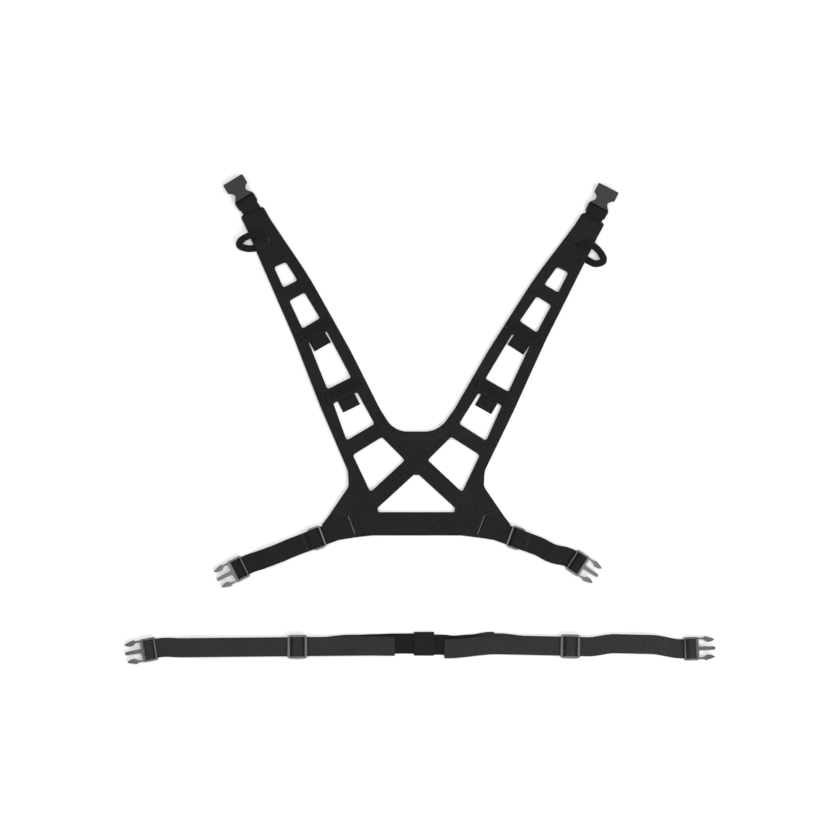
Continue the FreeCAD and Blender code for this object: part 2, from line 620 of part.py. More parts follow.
# ---------------------------------------------------------------- assembly
def add_male(kind, side):
    """A prong buckle, its webbing and its two flexing prongs, at the end of a strap."""
    middle, _, heading = hinge_of(kind, side)
    name = f"{kind}_{side}"
    nodes[f"{name}_buckle"] = placed(male_frame(), middle, heading)
    loop = webbing_loop(MALE_BAR_END, BAR_BASE + BAR_HEIGHT, MALE_RISE)
    nodes[f"{name}_webbing"] = trimmed(placed(loop, middle, heading), kind, side, 1)
    nodes[f"{name}_prong_a"] = placed(prong(1), middle, heading)
    nodes[f"{name}_prong_b"] = placed(prong(-1), middle, heading)


def add_socket(side):
    middle, _, heading = hinge_of("socket", side)
    loop = webbing_loop(SOCKET_BAR_END, BAR_BASE + SOCKET_BAR_HEIGHT, SOCKET_RISE)
    nodes[f"socket_{side}_webbing"] = trimmed(placed(loop, middle, heading), "socket", side, 1)
    nodes[f"socket_{side}_buckle"] = placed(socket_body(), middle, heading)
    nodes[f"arm_webbing_{side}"] = arm_webbing(side)


def slider_place(kind, side):
    """Where a slider sits, and the heading outwards along its strap."""
    if kind == "side":
        middle, heading = strap_place(side)
        return ahead(middle, heading, SIDE_SLIDER_AT), heading
    middle, heading, _ = hinge_of("waist", side)
    return ahead(middle, heading, waist_along(side, WAIST_SLIDER_X[side])), heading


def build():
    nodes["yoke_panel"] = yoke_panel()
    tab_ends = []
    for side in SIDES:
        add_socket(side)
        nodes[f"cable_loop_{side}"] = cable_loop(side)
        for level in RUNG_LINES:
            nodes[f"rung_band_{side}_{level}"] = rung_band(side, level)
            nodes[f"tab_{side}_{level}"] = tab_flap(side, level)
            tab_ends.append(tab_end(side, level))
        nodes[f"side_strap_{side}"] = side_strap(side)
        nodes[f"waist_strap_{side}"] = waist_strap(side)
        nodes[f"side_slider_{side}"] = placed(slider(SIDE_SLIDER), *slider_place("side", side))
        nodes[f"waist_slider_{side}"] = placed(slider(WAIST_SLIDER), *slider_place("waist", side))
        add_male("side", side)
        add_male("waist", side)
    nodes["tab_sewn_ends"] = Part.makeCompound(tab_ends)
    nodes["waist_elastic"] = waist_elastic()
    nodes["waist_keeper"] = keeper()


build()
footprint = Part.makeCompound(list(nodes.values())).BoundBox
ORIGIN = vec(footprint.Center.x, footprint.Center.y, footprint.ZMin)
os.makedirs("parts", exist_ok=True)
for name, shape in nodes.items():
    shape.translate(ORIGIN * -1)
    shape.exportStep(f"parts/{name}.step")
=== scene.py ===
import json
import math

import bmesh
import bpy
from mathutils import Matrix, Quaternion, Vector, noise


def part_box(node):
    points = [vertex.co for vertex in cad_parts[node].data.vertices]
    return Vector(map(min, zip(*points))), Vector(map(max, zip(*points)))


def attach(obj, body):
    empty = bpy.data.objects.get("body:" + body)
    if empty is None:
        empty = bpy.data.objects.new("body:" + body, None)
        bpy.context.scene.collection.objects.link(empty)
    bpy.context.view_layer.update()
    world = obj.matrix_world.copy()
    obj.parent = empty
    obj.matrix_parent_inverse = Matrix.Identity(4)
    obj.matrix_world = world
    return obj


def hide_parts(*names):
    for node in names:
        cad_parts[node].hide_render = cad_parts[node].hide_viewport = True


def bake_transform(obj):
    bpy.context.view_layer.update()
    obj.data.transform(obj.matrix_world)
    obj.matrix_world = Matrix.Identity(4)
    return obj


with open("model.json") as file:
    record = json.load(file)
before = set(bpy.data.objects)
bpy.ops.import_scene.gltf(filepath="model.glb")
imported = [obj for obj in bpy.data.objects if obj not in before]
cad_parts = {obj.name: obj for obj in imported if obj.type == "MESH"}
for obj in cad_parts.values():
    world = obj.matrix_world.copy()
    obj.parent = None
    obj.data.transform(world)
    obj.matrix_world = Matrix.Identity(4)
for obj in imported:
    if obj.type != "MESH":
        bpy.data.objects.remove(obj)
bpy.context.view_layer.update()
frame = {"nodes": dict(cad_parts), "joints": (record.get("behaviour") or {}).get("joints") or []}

NODES = frame["nodes"]
JOINTS = {joint["name"]: joint for joint in frame["joints"]}
MM = 0.001
SAME_PLACE = 1e-6              # metres within which two points are one
SIDES = ("left", "right")
UP = Vector((0, 0, 1))

# ---- webbing, elastic and laminate: all lengths are in millimetres
WEBBING_WIDTH = 25.6
WEBBING_THICK = 1.14
ELASTIC_THICK = 0.95
WAIST_ELASTIC_WIDTH = 27.0
RUNG_WIDTH = 13.5
UNDER = 0.7                    # middle of webbing that lies on the floor
STACKED = 2.0                  # middle of a second layer on top of it
FOLD_LEVEL = 2.6               # height of the points taken at each fold
SHEET_TOP = 3.4                # upper face of the laminate
SEAM_INSET = 1.6
GRID = 6.0
EDGE_ROUND = 0.45

# ---- the laminate's lift over the arms' ends, and its waves along the arms
END_RISE = 1.25
END_REACH = 52.0
END_SLOPE = 22.0
WAVE_FROM_Y = (-150.0, 60.0)   # where the waves begin, and over what length
WAVE_TO_Y = (205.0, 35.0)
WAVE_SCALE = 9.0
WAVE_SLICE = 0.3
WAVE_SHIFT = 0.35
WAVE_HEIGHT = 1.6

# ---- webbing paths are (along, up, bend radius); bows are (start, top, top's end, end, sideways height)
LOOP_OF_SOCKET = [(1.6, 2.0, 3.0), (6.4, 4.9, 3.0), (16.5, 4.9, 2.0), (16.5, 0.7, 2.0)]
LOOP_OF_PRONGS = [(5.6, 2.0, 3.0), (9.8, 4.65, 3.0), (17.85, 4.65, 1.95), (17.85, 0.7, 1.95)]
SLACK_LOOP = [(5.4, 2.0, 3.0), (8.4, 7.2, 3.6), (19.7, 7.5, 3.4), (17.6, 4.4, 1.2), (17.85, 0.7, 1.6)]
LANE_TURN = 30.0               # length over which a strap turns to its buckle's heading
LANE_LOOK = 0.4                # a lane's heading is taken between points this far to either side
ARM_TOP_END = -27.5
ARM_UNDER_END = -28.0
ARM_BEND = (-1.5, 4.0)
PRONG_BEND = (-6.0, 2.0)       # two places along a strap, either side of its fold at a prong buckle

# ---- side straps: from the slot up to the crest, then from the fold
SIDE_LENGTH = {"left": 146.5, "right": 123.5}
SIDE_BOWS = {"left": [(-66.0, -46.0, -24.0, 0.0, 0.8)], "right": [(-47.0, -24.0, -20.0, 0.0, -2.6)]}
SIDE_FROM_SLOT = [
    (65.5, 2.8, 0), (38.5, 2.8, 1.0), (35.5, 0.7, 1.0), (-2.35, 0.7, 1.7),
    (-2.35, 4.1, 1.7), (28.0, 4.1, 8.0), (34.0, 4.0, 8.0),
]
SIDE_FLAT_END = {"left": (94.0, 4.0, 30.0), "right": (89.0, 4.0, 30.0)}
SIDE_CREST = {"left": (115.0, 6.8, 40.0), "right": (100.5, 5.6, 40.0)}
SIDE_TOUCHDOWN = (-12.0, STACKED, 30.0)
SIDE_LOOPS = {"left": LOOP_OF_PRONGS, "right": SLACK_LOOP}
SIDE_UNDER_END = -22.0

# ---- the slot's backing patch, and a light-grey strip along the slot that is a painted highlight: distances from the slot
BACKING = ((-9.0, 5.0), 14.6)
BACKING_SLIT = ((-2.95, -1.75), 12.7)
BACKING_LEVELS = (1.34, 1.56)
HIGHLIGHT_ENDS = (-4.7, -3.8)
HIGHLIGHT_LEVEL = 3.45
HIGHLIGHT_WIDTH = 27.0
HIGHLIGHT_THICK = 0.35

# ---- webbing on the sliders: distances from the slider's middle
SLEEVE = [(-3.4, 5.1, 0), (-2.7, 7.5, 0.9), (10.2, 7.5, 1.6), (11.6, 5.3, 1.2), (19.4, 5.15, 0)]
SLEEVE_SEAM = (17.15, 18.05)
SEAM_LEVEL = 5.75
SEAM_STITCHES = 8
CROWN = [(-6.1, 4.3, 0), (-5.7, 7.7, 1.4), (5.7, 7.7, 1.4), (6.1, 4.3, 0)]

# ---- waist strap: x places from the middle, and distances from the fold
WAIST_TAIL_X = {"left": -33.6, "right": 33.0}
WAIST_BASE_X = {"left": -78.0, "right": 80.0}
WAIST_BOWS = {"left": [], "right": [(-126.0, -90.0, -42.0, 0.0, 4.9)]}
TAIL_SWAY = {"left": (-33.6, -70.0, 0.6), "right": (33.0, 107.0, -7.0)}
BASE_SWAY = {"left": (-98.0, -131.0, -2.5), "right": (107.0, 143.0, 2.5)}
WAIST_BASE = 2.8
WAIST_LAYER = 1.22
WAIST_CREST = 1.8
WAIST_LEVEL_END = -88.0
WAIST_TOP = -52.0
WAIST_TOUCHDOWN = -16.0
WAIST_BEND = 60.0
ELASTIC_WAVE = [
    (0.0, -3.0), (37.0, -1.6), (63.0, -0.8), (89.0, -0.7), (116.0, -2.2), (129.0, -2.35),
    (142.0, -3.6), (164.0, -2.1), (191.0, 1.4), (196.5, 1.2),
]
KEEPER_THICK = 0.8
KEEPER_BEND = 1.1
KEEPER_SEAM = 0.02             # gap where the sleeve's ends meet

# ---- rung bands, pull tabs and stitches
RUNG_TUCK = 5.0                # how far each end runs back under the laminate
RUNG_LOW = 1.0
RUNG_HIGH = 4.0
RUNG_BEND = 1.4
RUNG_SPARE = 0.05
RIPPLE_HEIGHT = 0.35
RIPPLE_RATE = 0.55
TAB_ENDS = (-8.0, 15.2)
TAB_LEVEL = 0.8
TAB_BEND = (-0.8, 2.5)
TAB_BEND_LEVEL = 1.4
TACK_INSETS = (3.2, 4.1)
TACK_LEVEL = 4.62
TACK_MARGIN = 2.0
TACK_ROW = 0.9
TACK_STITCHES = 4
SEAM_THREAD = (2.2, 0.62, 0.34)
TACK_THREAD = (1.7, 0.4, 0.26)
NECK_THREAD = (2.0, 0.5, 0.28)
NECK_COLUMN = 4.0              # the neck edge is read once in each column of this width
NECK_HALF = 62.0
NECK_Y = 30.0
NECK_INSET = 10.5
NECK_PITCH = 3.2
NECK_FACE = 3.2                # points above this are on the laminate's upper face

# ---- cable loops: points from the low corner of the loop's own box
LOOP_WIDTH = 9.6
LOOP_POINTS = {
    "left": [
        (41.4, 18.9, 0.7), (41.4, 18.9, 2.5), (40.8, 19.3, 4.6), (31.1, 24.1, 8.0), (18.5, 21.5, 9.0),
        (6.8, 15.3, 7.2), (4.6, 8.1, 5.6), (14.0, 4.6, 3.0), (24.6, 5.3, 0.95), (34.1, 8.0, 0.9),
    ],
    "right": [
        (3.0, 29.9, 0.7), (3.0, 29.9, 2.5), (3.6, 30.3, 4.6), (12.6, 32.0, 8.0), (25.0, 28.4, 9.4),
        (36.7, 16.5, 7.4), (38.4, 7.5, 5.8), (27.9, 4.8, 3.0), (16.5, 10.6, 0.95), (6.2, 15.9, 0.9),
    ],
}
LOOP_LIE = {"left": 122.8, "right": 54.1}      # heading of the arm beside each loop, in degrees

# ---- moulded parts
SLIDER_ROUND = 0.95
BUCKLE_ROUND = 0.6

# ---- finishes: base colours, sizes of weave and rib in metres, and noise scales per metre
LAMINATE_BLACK = (0.0056, 0.0057, 0.0059)
# the laminate's edges, lighter than its face: a painted highlight where the cut edge catches the light
EDGE_HIGHLIGHT_BLACK = (0.0080, 0.0083, 0.0088)
# painted highlight: the light line where the slot's cut edge catches the light
SLOT_HIGHLIGHT_GREY = (0.060, 0.062, 0.065)
WEBBING_BLACK = (0.0094, 0.0099, 0.0108)
# the webbing's colour darkened: painted shade for the straps on the arms, at the yoke's corners and on the
# side sliders, where less light falls
SHADED_WEBBING_BLACK = (0.0050, 0.0053, 0.0058)
# darker than the webbing: painted shade on the pull tabs, which lie in the shadow under the windows; the
# keeper sleeve shares this colour
TAPE_AND_SHADE_BLACK = (0.0052, 0.0054, 0.0058)
ELASTIC_BLACK = (0.0036, 0.0038, 0.0040)
PLASTIC_BLACK = (0.010, 0.0103, 0.0109)
THREAD_BLACK = (0.0105, 0.0108, 0.0115)
PAPER_GREY = (0.64, 0.64, 0.64)
LAMINATE_YARN = (0.0011, 0.0008)
WEBBING_YARN = (0.0019, 0.00105)
TAPE_YARN = (0.0014, 0.0008)
ELASTIC_RIB = 0.0013
ELASTIC_COURSE = 0.0009
SELVEDGE = (0.0016, 0.0006)    # the paler edge starts and is full this far in
FIBRE_SCALE = 2600.0
TWIST_SCALE = 2500.0
GRAIN_SCALE = 1600.0
MELT_SCALE = 1500.0
SPECKLE_SCALE = 430.0
SCORCH_SCALE = 400.0
WEAR_SCALE = 60.0
SHINE_SCALE = 45.0
BROAD_SCALE = 26.0
CLOUD_SCALE = 22.0
PAPER_SCALE = 6.0
NOISE_SPAN = (0.3, 0.7)        # where most of a noise's values lie
FINE_SPAN = (0.35, 0.65)

# ---- camera, floor and light: metres, watts and degrees
CAMERA_TARGET = Vector((0.0002, -0.0050, 0.0))
CAMERA_ELEVATION = 84.0
CAMERA_DISTANCE = 2.6
CAMERA_LENS = 81.93
FLOOR_HALF = 40.0
FLOOR_LEVEL = -0.0004
WORLD_LIGHT = 0.85
LIGHTS = {
    "overhead": ((0.0, 0.2, 2.6), (1.7, 1.3), 29, (0, 0.15, 0)),
    "key": ((1.0, -1.6, 1.5), (0.8, 0.8), 35, (0, -0.15, 0)),
    "strip_left": ((-1.7, 0.1, 1.4), (0.6, 1.6), 10, (0, 0, 0)),
    "strip_right": ((1.7, 0.1, 1.4), (0.8, 1.6), 20, (0, 0, 0)),
}


# ---------------------------------------------------------------- materials
class Shade:
    """A small helper that builds one material's node tree."""

    def __init__(self, name, roughness, specular):
        self.material = bpy.data.materials.new(name)
        self.material.use_nodes = True
        self.tree = self.material.node_tree
        self.shader = self.tree.nodes["Principled BSDF"]
        self.shader.inputs["Roughness"].default_value = roughness
        self.shader.inputs["Specular IOR Level"].default_value = specular

    def node(self, kind, **settings):
        node = self.tree.nodes.new(kind)
        for key, value in settings.items():
            setattr(node, key, value)
        return node

    def join(self, source, target):
        self.tree.links.new(source, target)

    def maths(self, operation, first, second=None):
        node = self.node("ShaderNodeMath", operation=operation)
        for socket, value in zip(node.inputs, (first, second)):
            if value is None:
                continue
            if isinstance(value, (int, float)):
                socket.default_value = value
            else:
                self.join(value, socket)
        return node.outputs[0]

    def object_point(self):
        return self.node("ShaderNodeTexCoord").outputs["Object"]

    def noise(self, scale, detail):
        node = self.node("ShaderNodeTexNoise")
        node.inputs["Scale"].default_value = scale
        node.inputs["Detail"].default_value = detail
        self.join(self.object_point(), node.inputs["Vector"])
        return node.outputs["Fac"]

    def along_across(self):
        """Metres along and across a ribbon, from its UV map."""
        split = self.node("ShaderNodeSeparateXYZ")
        self.join(self.node("ShaderNodeUVMap", uv_map="UVMap").outputs[0], split.inputs[0])
        return split.outputs[0], split.outputs[1]

    def ramp(self, value, low, high, dark, light):
        node = self.node("ShaderNodeMapRange")
        self.join(value, node.inputs["Value"])
        for name, number in (("From Min", low), ("From Max", high), ("To Min", dark), ("To Max", light)):
            node.inputs[name].default_value = number
        return node.outputs[0]

    def vary(self, value, dark, light, span=NOISE_SPAN):
        """A noise spread over a range."""
        return self.ramp(value, *span, dark, light)

    def colour(self, value, tint):
        """Base colour: a tint times a varying brightness."""
        mix = self.node("ShaderNodeVectorMath", operation="SCALE")
        mix.inputs[0].default_value = tint
        self.join(value, mix.inputs["Scale"])
        self.join(mix.outputs[0], self.shader.inputs["Base Color"])

    def bump(self, height, strength, distance):
        node = self.node("ShaderNodeBump")
        node.inputs["Strength"].default_value = strength
        node.inputs["Distance"].default_value = distance
        self.join(height, node.inputs["Height"])
        self.join(node.outputs[0], self.shader.inputs["Normal"])

    def rough(self, value):
        self.join(value, self.shader.inputs["Roughness"])


def weave(shade, along, across, pitch_along, pitch_across):
    """Height of a plain weave: rounded yarns whose crowns alternate from column to column."""
    column = shade.maths("DIVIDE", across, pitch_across)
    parity = shade.maths("MODULO", shade.maths("FLOOR", column), 2.0)
    half_step = shade.maths("MULTIPLY", parity, 0.5)
    turns = shade.maths("ADD", shade.maths("DIVIDE", along, pitch_along), half_step)
    crowns = shade.maths("SINE", shade.maths("MULTIPLY", turns, 2 * math.pi))
    ridge = shade.maths("ABSOLUTE", shade.maths("SINE", shade.maths("MULTIPLY", column, math.pi)))
    return shade.maths("MULTIPLY", shade.maths("ADD", shade.maths("MULTIPLY", crowns, 0.5), 0.5), ridge)


def laminate_material():
    """Coated cloth: a faint weave under a fine grain, cloudy in tone and uneven in shine."""
    shade = Shade("laminate", 0.62, 0.07)
    split = shade.node("ShaderNodeSeparateXYZ")
    shade.join(shade.object_point(), split.inputs[0])
    cloth = weave(shade, split.outputs[1], split.outputs[0], *LAMINATE_YARN)
    grain = shade.noise(SPECKLE_SCALE, 5.0)
    cloudy = shade.vary(shade.noise(CLOUD_SCALE, 3.0), 0.82, 1.18)
    grainy = shade.vary(grain, 0.68, 1.32, FINE_SPAN)
    shade.colour(shade.maths("MULTIPLY", cloudy, grainy), LAMINATE_BLACK)
    shade.rough(shade.vary(shade.noise(SHINE_SCALE, 4.0), 0.55, 0.70))
    shade.bump(shade.maths("ADD", shade.maths("MULTIPLY", cloth, 0.35), grain), 0.35, 0.00012)
    return shade.material


def edge_material(name, tint):
    """A heat-cut edge of the laminate: smoother, and lighter in colour as a painted highlight where the cut
    edge catches the light.
    """
    shade = Shade(name, 0.45, 0.3)
    shade.colour(shade.vary(shade.noise(SCORCH_SCALE, 3.0), 0.8, 1.25), tint)
    shade.bump(shade.noise(MELT_SCALE, 3.0), 0.4, 0.0001)
    return shade.material


def webbing_material(name, tint, yarn=WEBBING_YARN, specular=0.10):
    """Woven nylon: yarns in relief, with speckled fibres and a little sheen."""
    shade = Shade(name, 0.66, specular)
    along, across = shade.along_across()
    yarns = weave(shade, along, across, *yarn)
    fibre = shade.noise(FIBRE_SCALE, 2.0)
    broad = shade.vary(shade.noise(BROAD_SCALE, 3.0), 0.86, 1.14)
    speckle = shade.vary(shade.noise(SPECKLE_SCALE, 4.0), 0.60, 1.40, FINE_SPAN)
    woven = shade.ramp(yarns, 0.0, 1.0, 0.62, 1.28)
    shade.colour(shade.maths("MULTIPLY", woven, shade.maths("MULTIPLY", broad, speckle)), tint)
    shade.rough(shade.vary(fibre, 0.58, 0.78))
    shade.bump(shade.maths("ADD", yarns, shade.maths("MULTIPLY", fibre, 0.2)), 0.7, 0.0003)
    shade.shader.inputs["Sheen Weight"].default_value = 0.04
    shade.shader.inputs["Sheen Roughness"].default_value = 0.4
    return shade.material


def elastic_material(name, width):
    """Knitted elastic: narrow ribs along the band, crossed by finer courses, with paler selvedges."""
    shade = Shade(name, 0.72, 0.08)
    along, across = shade.along_across()
    ribs = shade.maths("SINE", shade.maths("MULTIPLY", across, math.pi / ELASTIC_RIB))
    courses = shade.maths("SINE", shade.maths("MULTIPLY", along, 2 * math.pi / ELASTIC_COURSE))
    knit = shade.maths("ADD", shade.maths("ABSOLUTE", ribs), shade.maths("MULTIPLY", courses, 0.25))
    inner, outer = (width / 2 * MM - inset for inset in SELVEDGE)
    rim = shade.ramp(shade.maths("ABSOLUTE", across), inner, outer, 1.0, 1.9)
    level = shade.maths("MULTIPLY", shade.ramp(knit, -0.2, 1.2, 0.65, 1.2), rim)
    shade.colour(level, ELASTIC_BLACK)
    shade.bump(knit, 0.6, 0.0003)
    shade.shader.inputs["Sheen Weight"].default_value = 0.03
    return shade.material


def plastic_material(name, low, high, specular):
    """Moulded acetal: fine spark-eroded grain, more or less polished by handling."""
    shade = Shade(name, low, specular)
    wear = shade.noise(WEAR_SCALE, 4.0)
    shade.colour(shade.vary(wear, 0.88, 1.14), PLASTIC_BLACK)
    shade.rough(shade.vary(wear, low, high))
    shade.bump(shade.noise(GRAIN_SCALE, 2.0), 0.22, 0.00008)
    return shade.material


def thread_material():
    """Twisted sewing thread."""
    shade = Shade("thread", 0.5, 0.3)
    twist = shade.noise(TWIST_SCALE, 2.0)
    shade.colour(shade.vary(twist, 0.75, 1.3), THREAD_BLACK)
    shade.bump(twist, 0.5, 0.00015)
    return shade.material


def paper_material():
    """The plain pale floor."""
    shade = Shade("paper", 0.9, 0.1)
    shade.colour(shade.vary(shade.noise(PAPER_SCALE, 2.0), 0.995, 1.0), PAPER_GREY)
    return shade.material


LAMINATE = laminate_material()
EDGE = edge_material("laminate_edge_highlight", EDGE_HIGHLIGHT_BLACK)
# the slot's strip, light grey: a painted highlight
SLOT_HIGHLIGHT = edge_material("slot_painted_highlight", SLOT_HIGHLIGHT_GREY)
WEBBING = webbing_material("webbing", WEBBING_BLACK, specular=0.18)
# a darker copy of the webbing: painted shade
SHADED_WEBBING = webbing_material("webbing_painted_shade", SHADED_WEBBING_BLACK)
# tape darkened as painted shade for the pull tabs, also used on the keeper sleeve
TAPE_AND_SHADE = webbing_material("tape_and_painted_shade", TAPE_AND_SHADE_BLACK, TAPE_YARN)
ELASTIC = elastic_material("elastic", WAIST_ELASTIC_WIDTH)
RUNG_ELASTIC = elastic_material("elastic_rung", RUNG_WIDTH)
LOOP_ELASTIC = elastic_material("elastic_loop", LOOP_WIDTH)
ACETAL = plastic_material("acetal", 0.55, 0.68, 0.3)
POLISHED = plastic_material("acetal_polished", 0.16, 0.26, 0.55)
THREAD = thread_material()


# ---------------------------------------------------------------- plan geometry
def heading_of(direction):
    return math.atan2(direction[1], direction[0])


def smooth(t):
    t = max(0.0, min(1.0, t))
    return t * t * (3 - 2 * t)


def plan_frame(node):
    """Middle, heading of the long side, length and width of a node's smallest rectangle seen from above."""
    points = {(round(v.co.x, 6), round(v.co.y, 6)) for v in NODES[node].data.vertices}
    best = None
    for tenth in range(1800):
        angle = math.radians(tenth * 0.1)
        c, s = math.cos(angle), math.sin(angle)
        along = [x * c + y * s for x, y in points]
        across = [y * c - x * s for x, y in points]
        size = (max(along) - min(along), max(across) - min(across))
        if best is None or size[0] * size[1] < best[0]:
            u, v = (max(along) + min(along)) / 2, (max(across) + min(across)) / 2
            best = (size[0] * size[1], angle, size, (u * c - v * s, u * s + v * c))
    _, angle, size, middle = best
    if size[1] > size[0]:
        angle, size = angle + math.pi / 2, size[::-1]
    return Vector((*middle, 0)), angle, size[0], size[1]


class Lane:
    """A strap's centre line on the floor: 0 at its fold, negative back down the strap."""

    def __init__(self, fold, strap, buckle, bows=()):
        self.fold, self.strap, self.buckle, self.bows = fold, strap, buckle, bows
        difference = (buckle - strap + math.pi) % (2 * math.pi) - math.pi
        self.slope = math.tan(difference)

    def point(self, s):
        if s > 0:
            return self.fold + Vector((math.cos(self.buckle), math.sin(self.buckle), 0)) * (s * MM)
        offset = 0.0
        if s > -LANE_TURN:
            offset = self.slope * (s + LANE_TURN) ** 2 * s / LANE_TURN ** 2
        for start, top, top_end, end, height in self.bows:
            offset += height * min(smooth((s - start) / (top - start)), smooth((end - s) / (end - top_end)))
        c, sn = math.cos(self.strap), math.sin(self.strap)
        return self.fold + Vector((s * c - offset * sn, s * sn + offset * c, 0)) * MM

    def place(self, s, t, z):
        ahead, behind = self.point(s + LANE_LOOK), self.point(s - LANE_LOOK)
        tangent = (ahead - behind).normalized()
        side = Vector((-tangent.y, tangent.x, 0))
        return self.point(s) + side * (t * MM) + UP * (z * MM)


def rounded_path(corners, spacing=4.0):
    """Points along a folded path of (along, up, bend radius) corners, in millimetres."""
    corners = [(Vector((s, z)), r) for s, z, r in corners]
    path = [corners[0][0]]

    def run_to(target):
        start = path[-1]
        steps = max(1, int((target - start).length / spacing))
        for i in range(1, steps + 1):
            path.append(start.lerp(target, i / steps))

    for (before, _), (corner, radius), (after, _) in zip(corners, corners[1:], corners[2:]):
        back, on = (before - corner).normalized(), (after - corner).normalized()
        angle = math.acos(max(-1.0, min(1.0, back.dot(on))))
        if angle > math.pi - 0.01:
            run_to(corner)
            continue
        room = 0.48 * min((before - corner).length, (after - corner).length)
        cut = min(radius / math.tan(angle / 2), room)
        first, last = corner + back * cut, corner + on * cut
        run_to(first)
        steps = max(3, int(math.degrees(math.pi - angle) / 18))
        for i in range(1, steps + 1):
            t = i / steps
            path.append(first * (1 - t) ** 2 + corner * (2 * t * (1 - t)) + last * t ** 2)
    run_to(corners[-1][0])
    return path


# ---------------------------------------------------------------- meshes
def finished(name, bm, materials, smooth_angle=40):
    """A mesh object from a bmesh, smooth where its faces meet at less than that angle."""
    bmesh.ops.recalc_face_normals(bm, faces=bm.faces)
    mesh = bpy.data.meshes.new(name)
    bm.to_mesh(mesh)
    bm.free()
    mesh.polygons.foreach_set("use_smooth", [True] * len(mesh.polygons))
    mesh.set_sharp_from_angle(angle=math.radians(smooth_angle))
    for material in materials:
        mesh.materials.append(material)
    obj = bpy.data.objects.new(name, mesh)
    bpy.context.scene.collection.objects.link(obj)
    return obj


def section(width, thick):
    """Outline of webbing cut across: (across, through) points, with rounded selvedges."""
    half, up = width / 2, thick / 2
    steps = max(4, int(width / 3))
    top = [(-half + up + (width - thick) * i / steps, up) for i in range(steps + 1)]
    edge = [(half - up * 0.3, up * 0.72), (half, 0.0), (half - up * 0.3, -up * 0.72)]
    bottom = [(-x, -y) for x, y in top]
    return top + edge + bottom + [(-x, -y) for x, y in edge]


def swept(name, rings, lengths, outline, materials):
    """Skins rings of points and gives them a UV map in metres: along the path and across it."""
    bm = bmesh.new()
    uv = bm.loops.layers.uv.new("UVMap")
    rows = [[bm.verts.new(p) for p in ring] for ring in rings]
    count = len(outline)
    for r in range(len(rows) - 1):
        for i in range(count):
            j = (i + 1) % count
            face = bm.faces.new((rows[r][i], rows[r][j], rows[r + 1][j], rows[r + 1][i]))
            corners = ((lengths[r], i), (lengths[r], j), (lengths[r + 1], j), (lengths[r + 1], i))
            for loop, (along, k) in zip(face.loops, corners):
                loop[uv].uv = (along, outline[k][0] * MM)
    for row, along in ((rows[0], lengths[0]), (rows[-1], lengths[-1])):
        face = bm.faces.new(row)
        for loop, (x, y) in zip(face.loops, outline):
            loop[uv].uv = (along + y * MM, x * MM)
    return finished(name, bm, materials, 50)


def ribbon(name, lane, corners, width, thick, material, lift=None, sway=None):
    """Webbing that follows a folded path down a lane; lift raises it, and sway moves it sideways."""
    path = rounded_path(corners)
    outline = section(width, thick)
    rings, lengths, total = [], [], 0.0
    for i, point in enumerate(path):
        nearby = path[min(i + 1, len(path) - 1)] - path[max(i - 1, 0)]
        nearby.normalize()
        normal = Vector((-nearby.y, nearby.x))
        ring = []
        for across, through in outline:
            s, z = point + normal * through
            place = lane.place(s, across + (sway(point.x, point.y) if sway else 0.0), z)
            if lift:
                place.z += lift(place) * MM
            ring.append(place)
        rings.append(ring)
        total += (point - path[i - 1]).length * MM if i else 0.0
        lengths.append(total)
    return swept(name, rings, lengths, outline, [material])


def stitches(name, runs, size):
    """Thread lying on the surface: runs of (start, end, count) stitches, each a rounded bead."""
    bm = bmesh.new()
    length, width, height = (v * MM for v in size)
    for start, end, count in runs:
        along = (end - start).normalized()
        side = UP.cross(along).normalized()
        for i in range(count):
            middle = start.lerp(end, (i + 0.5) / count)
            ends = [bm.verts.new(middle + along * (sign * length / 2)) for sign in (-1, 1)]
            loops = []
            for share, swell in ((-0.32, 0.82), (0.0, 1.0), (0.32, 0.82)):
                centre = middle + along * (share * length)
                loop = []
                for k in range(6):
                    a = k * math.pi / 3
                    beside = side * (math.cos(a) * width / 2 * swell)
                    above = UP * (math.sin(a) * height / 2 * swell)
                    loop.append(bm.verts.new(centre + (beside + above)))
                loops.append(loop)
            for k in range(6):
                n = (k + 1) % 6
                bm.faces.new((ends[0], loops[0][n], loops[0][k]))
                bm.faces.new((loops[0][k], loops[0][n], loops[1][n], loops[1][k]))
                bm.faces.new((loops[1][k], loops[1][n], loops[2][n], loops[2][k]))
                bm.faces.new((loops[2][k], loops[2][n], ends[1]))
    return finished(name, bm, [THREAD], 60)


def settle(obj, body, slot, *replaced):
    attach(obj, body)
    if replaced:
        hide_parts(*replaced)
    return obj


def bending(obj, bodies, start, end, slot, *replaced):
    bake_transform(obj)
    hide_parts(*replaced)
    return obj


# ---------------------------------------------------------------- where things are
def slide_heading(name):
    return heading_of(JOINTS[name]["axis"])


def fold_place(name):
    """Point and heading of a fold line, square to its axis and towards the moving piece."""
    joint = JOINTS[name]
    ax, ay, _ = joint["axis"]
    x, y, _ = joint["pos_m"]
    return Vector((x, y, 0)), heading_of((-ay, ax))


ARM_ENDS = {side: fold_place(f"socket_{side}_fold")[0] for side in SIDES}


